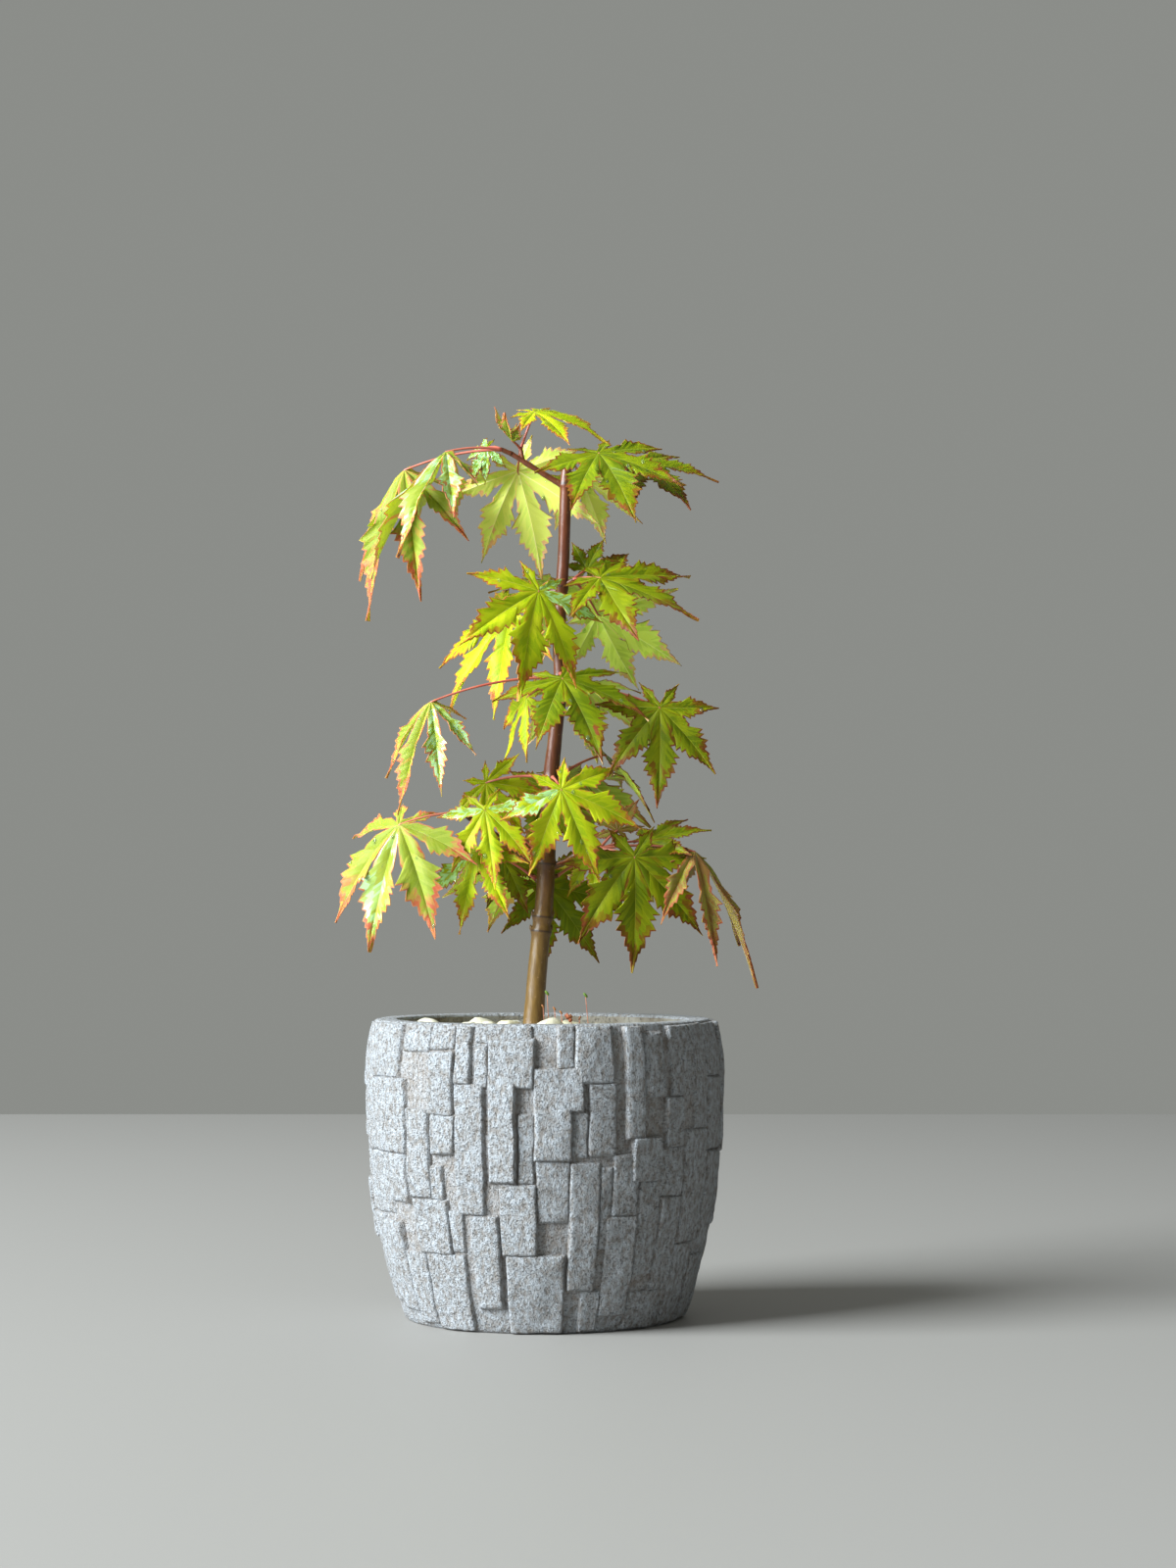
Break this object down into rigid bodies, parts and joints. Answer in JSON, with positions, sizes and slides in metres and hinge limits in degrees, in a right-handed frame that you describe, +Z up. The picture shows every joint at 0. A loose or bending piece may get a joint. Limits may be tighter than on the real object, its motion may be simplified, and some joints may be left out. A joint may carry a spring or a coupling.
{
  "type": "potted japanese maple",
  "caption": "Young Japanese maple with a slender leaning stem and lobed red-edged leaves, in a round grey pot faced with uneven flat slabs and topped with pale pebbles.",
  "frame": {"origin": "centre of the pot's flat underside", "axes": "+Z up along the pot's axis, -Y towards the front that the picture shows, +X to its right"},
  "size_m": [0.153, 0.1304, 0.3311],
  "materials": {
    "concrete": "rough cast",
    "loam": "crumbly",
    "pale_stone": "worn smooth",
    "bark": "smooth bark",
    "leaf_green": "soft leaf, wet in places"
  },
  "bodies": {
    "root": {"bough_lower_left": "bark", "bough_lower_right": "bark", "bough_top_left": "bark", "foliage_centre": "leaf_green", "foliage_centre_back": "leaf_green", "foliage_centre_left": "leaf_green", "foliage_left_behind": "leaf_green", "foliage_left_inner": "leaf_green", "foliage_left_low": "leaf_green", "foliage_left_reach": "leaf_green", "foliage_lower_back": "leaf_green", "foliage_lower_centre": "leaf_green", "foliage_lower_left": "leaf_green", "foliage_mid_back": "leaf_green", "foliage_mid_left": "leaf_green", "foliage_mid_reach": "leaf_green", "foliage_mid_right": "leaf_green", "foliage_right_inner": "leaf_green", "foliage_right_low": "leaf_green", "foliage_right_under": "leaf_green", "foliage_right_upper": "leaf_green", "foliage_top_crown": "leaf_green", "foliage_top_left": "leaf_green", "foliage_top_right": "leaf_green", "foliage_under_back": "leaf_green", "foliage_under_right": "leaf_green", "pebbles": "pale_stone", "pot": "concrete", "soil": "loam", "trunk": "bark"}
  },
  "joints": []
}
